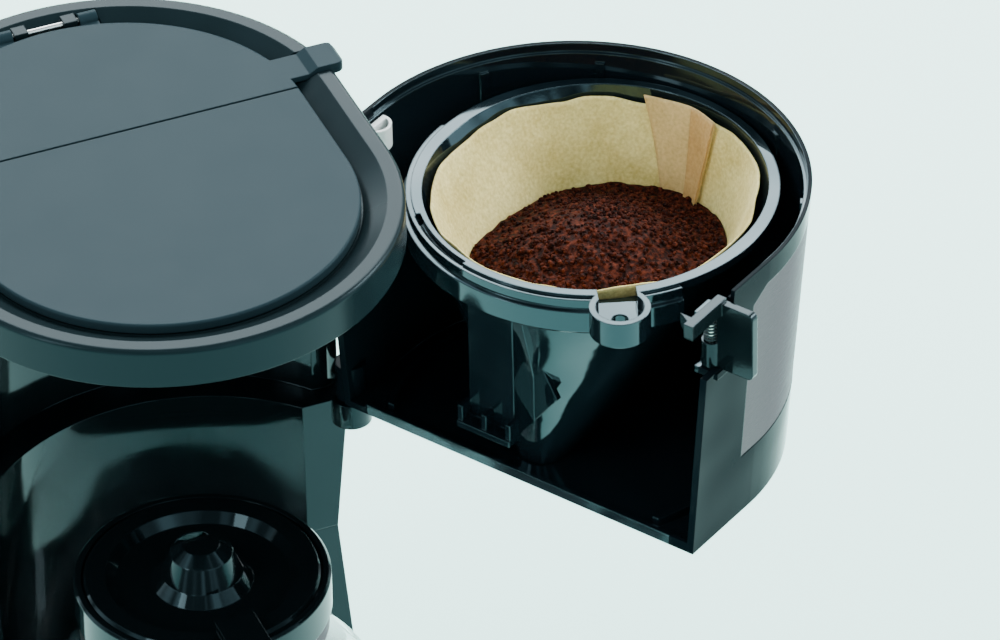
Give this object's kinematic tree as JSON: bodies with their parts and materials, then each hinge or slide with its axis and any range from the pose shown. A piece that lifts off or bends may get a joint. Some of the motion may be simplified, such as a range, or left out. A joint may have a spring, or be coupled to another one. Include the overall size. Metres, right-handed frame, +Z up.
{
  "type": "drip coffee maker",
  "caption": "Drip coffee maker with a swing-out filter holder, lift-out basket, glass carafe on a warming plate and a tower water tank under a hinged lid.",
  "frame": {"origin": "on the sole of the middle foot, in the plane that the feet stand on, below the middle of the top cap", "axes": "+Z up; -Y is the front, where the carafe goes in; +X is the side the filter holder swings out to"},
  "size_m": [0.2798, 0.241, 0.2824],
  "materials": {
    "gloss_black": "glossy moulded",
    "matt_black": "satin moulded",
    "rubber": "matt",
    "silicone": "matt, translucent",
    "steel": "brushed along its width",
    "bright_steel": "bright",
    "plate_coating": "non-stick coating",
    "cast_aluminium": "as cast",
    "tank_plastic": "natural polypropylene",
    "window_plastic": "clear moulded",
    "wire_insulation": "silicone sleeve",
    "filter_paper": "unbleached, creped",
    "coffee": "ground, granular",
    "glass": "clear borosilicate"
  },
  "bodies": {
    "machine": {"base_shell": "gloss_black", "bottom_cover": "matt_black", "rubber_feet": "rubber", "bottom_screws": "bright_steel", "switch_bezel": "matt_black", "switch_body": "matt_black", "cord_gland": "matt_black", "warming_plate": "plate_coating", "plate_seal": "silicone", "heating_element": "cast_aluminium", "heater_bracket": "bright_steel", "thermostat": "bright_steel", "thermal_fuses": "bright_steel", "tower_foot": "gloss_black", "gauge_window": "window_plastic", "tower_housing": "gloss_black", "water_tank": "tank_plastic", "tank_strainer": "tank_plastic", "check_valve_ball": "tank_plastic", "cold_hose": "silicone", "hot_hose": "silicone", "riser_tube": "tank_plastic", "hose_clamps": "bright_steel", "spray_arm": "gloss_black", "spray_head": "gloss_black", "top_cap": "gloss_black", "front_panel": "gloss_black", "lid_hinge_pin": "bright_steel", "terminal_block": "matt_black", "internal_wires": "wire_insulation", "tower_screws": "bright_steel", "swing_hinge_pins": "bright_steel"},
    "power_rocker": {"power_rocker": "gloss_black"},
    "tank_lid": {"tank_lid": "gloss_black"},
    "filter_holder": {"filter_holder": "gloss_black", "steel_panel": "steel", "hinge_bushes": "matt_black", "hinge_clip": "tank_plastic", "lever_pin": "bright_steel", "lever_spring": "bright_steel"},
    "release_lever": {"release_lever": "matt_black"},
    "filter_basket": {"filter_basket": "gloss_black", "valve_guide": "matt_black", "valve_spring": "bright_steel"},
    "drip_valve": {"drip_valve": "matt_black", "valve_seal": "silicone"},
    "paper_filter": {"paper_filter": "filter_paper", "coffee_grounds": "coffee"},
    "carafe": {"carafe_glass": "glass", "carafe_collar": "gloss_black", "carafe_band": "steel", "carafe_handle": "gloss_black", "band_screw": "bright_steel", "lid_pin": "bright_steel"},
    "carafe_lid": {"carafe_lid": "gloss_black"}
  },
  "joints": [
    {"name": "swing_hinge", "type": "hinge", "parent": "machine", "child": "filter_holder", "pos_m": [0.0691, 0.0046, 0.218], "axis": [0, 0, 1], "range_deg": [-121.7, 0]},
    {"name": "release_lever_pivot", "type": "hinge", "parent": "filter_holder", "child": "release_lever", "pos_m": [0.14372, -0.11128, 0.25], "axis": [0, 0, 1], "range_deg": [0, 6], "stiffness_Nm_per_rad": 0.3, "springref_deg": -5.73},
    {"name": "basket_lift", "type": "slide", "parent": "filter_holder", "child": "filter_basket", "axis": [0, 0, 1], "range_m": [0, 0.12]},
    {"name": "drip_valve_travel", "type": "slide", "parent": "filter_basket", "child": "drip_valve", "axis": [0, 0, 1], "range_m": [0, 0.003], "stiffness_N_per_m": 150, "springref_m": -0.006, "deforming": ["valve_spring"]},
    {"name": "paper_filter_lift", "type": "slide", "parent": "filter_basket", "child": "paper_filter", "axis": [0, 0, 1], "range_m": [0, 0.12]},
    {"name": "tank_lid_hinge", "type": "hinge", "parent": "machine", "child": "tank_lid", "pos_m": [0, 0.0843, 0.2796], "axis": [-1, 0, 0], "range_deg": [0, 95]},
    {"name": "carafe_slide", "type": "slide", "parent": "machine", "child": "carafe", "axis": [0, -1, 0], "range_m": [0, 0.2]},
    {"name": "carafe_lid_hinge", "type": "hinge", "parent": "carafe", "child": "carafe_lid", "pos_m": [0, -0.0945, 0.154], "axis": [1, 0, 0], "range_deg": [0, 80]},
    {"name": "power_switch", "type": "hinge", "parent": "machine", "child": "power_rocker", "pos_m": [0, -0.119, 0.0195], "axis": [1, 0, 0], "range_deg": [-8, 0]}
  ]
}
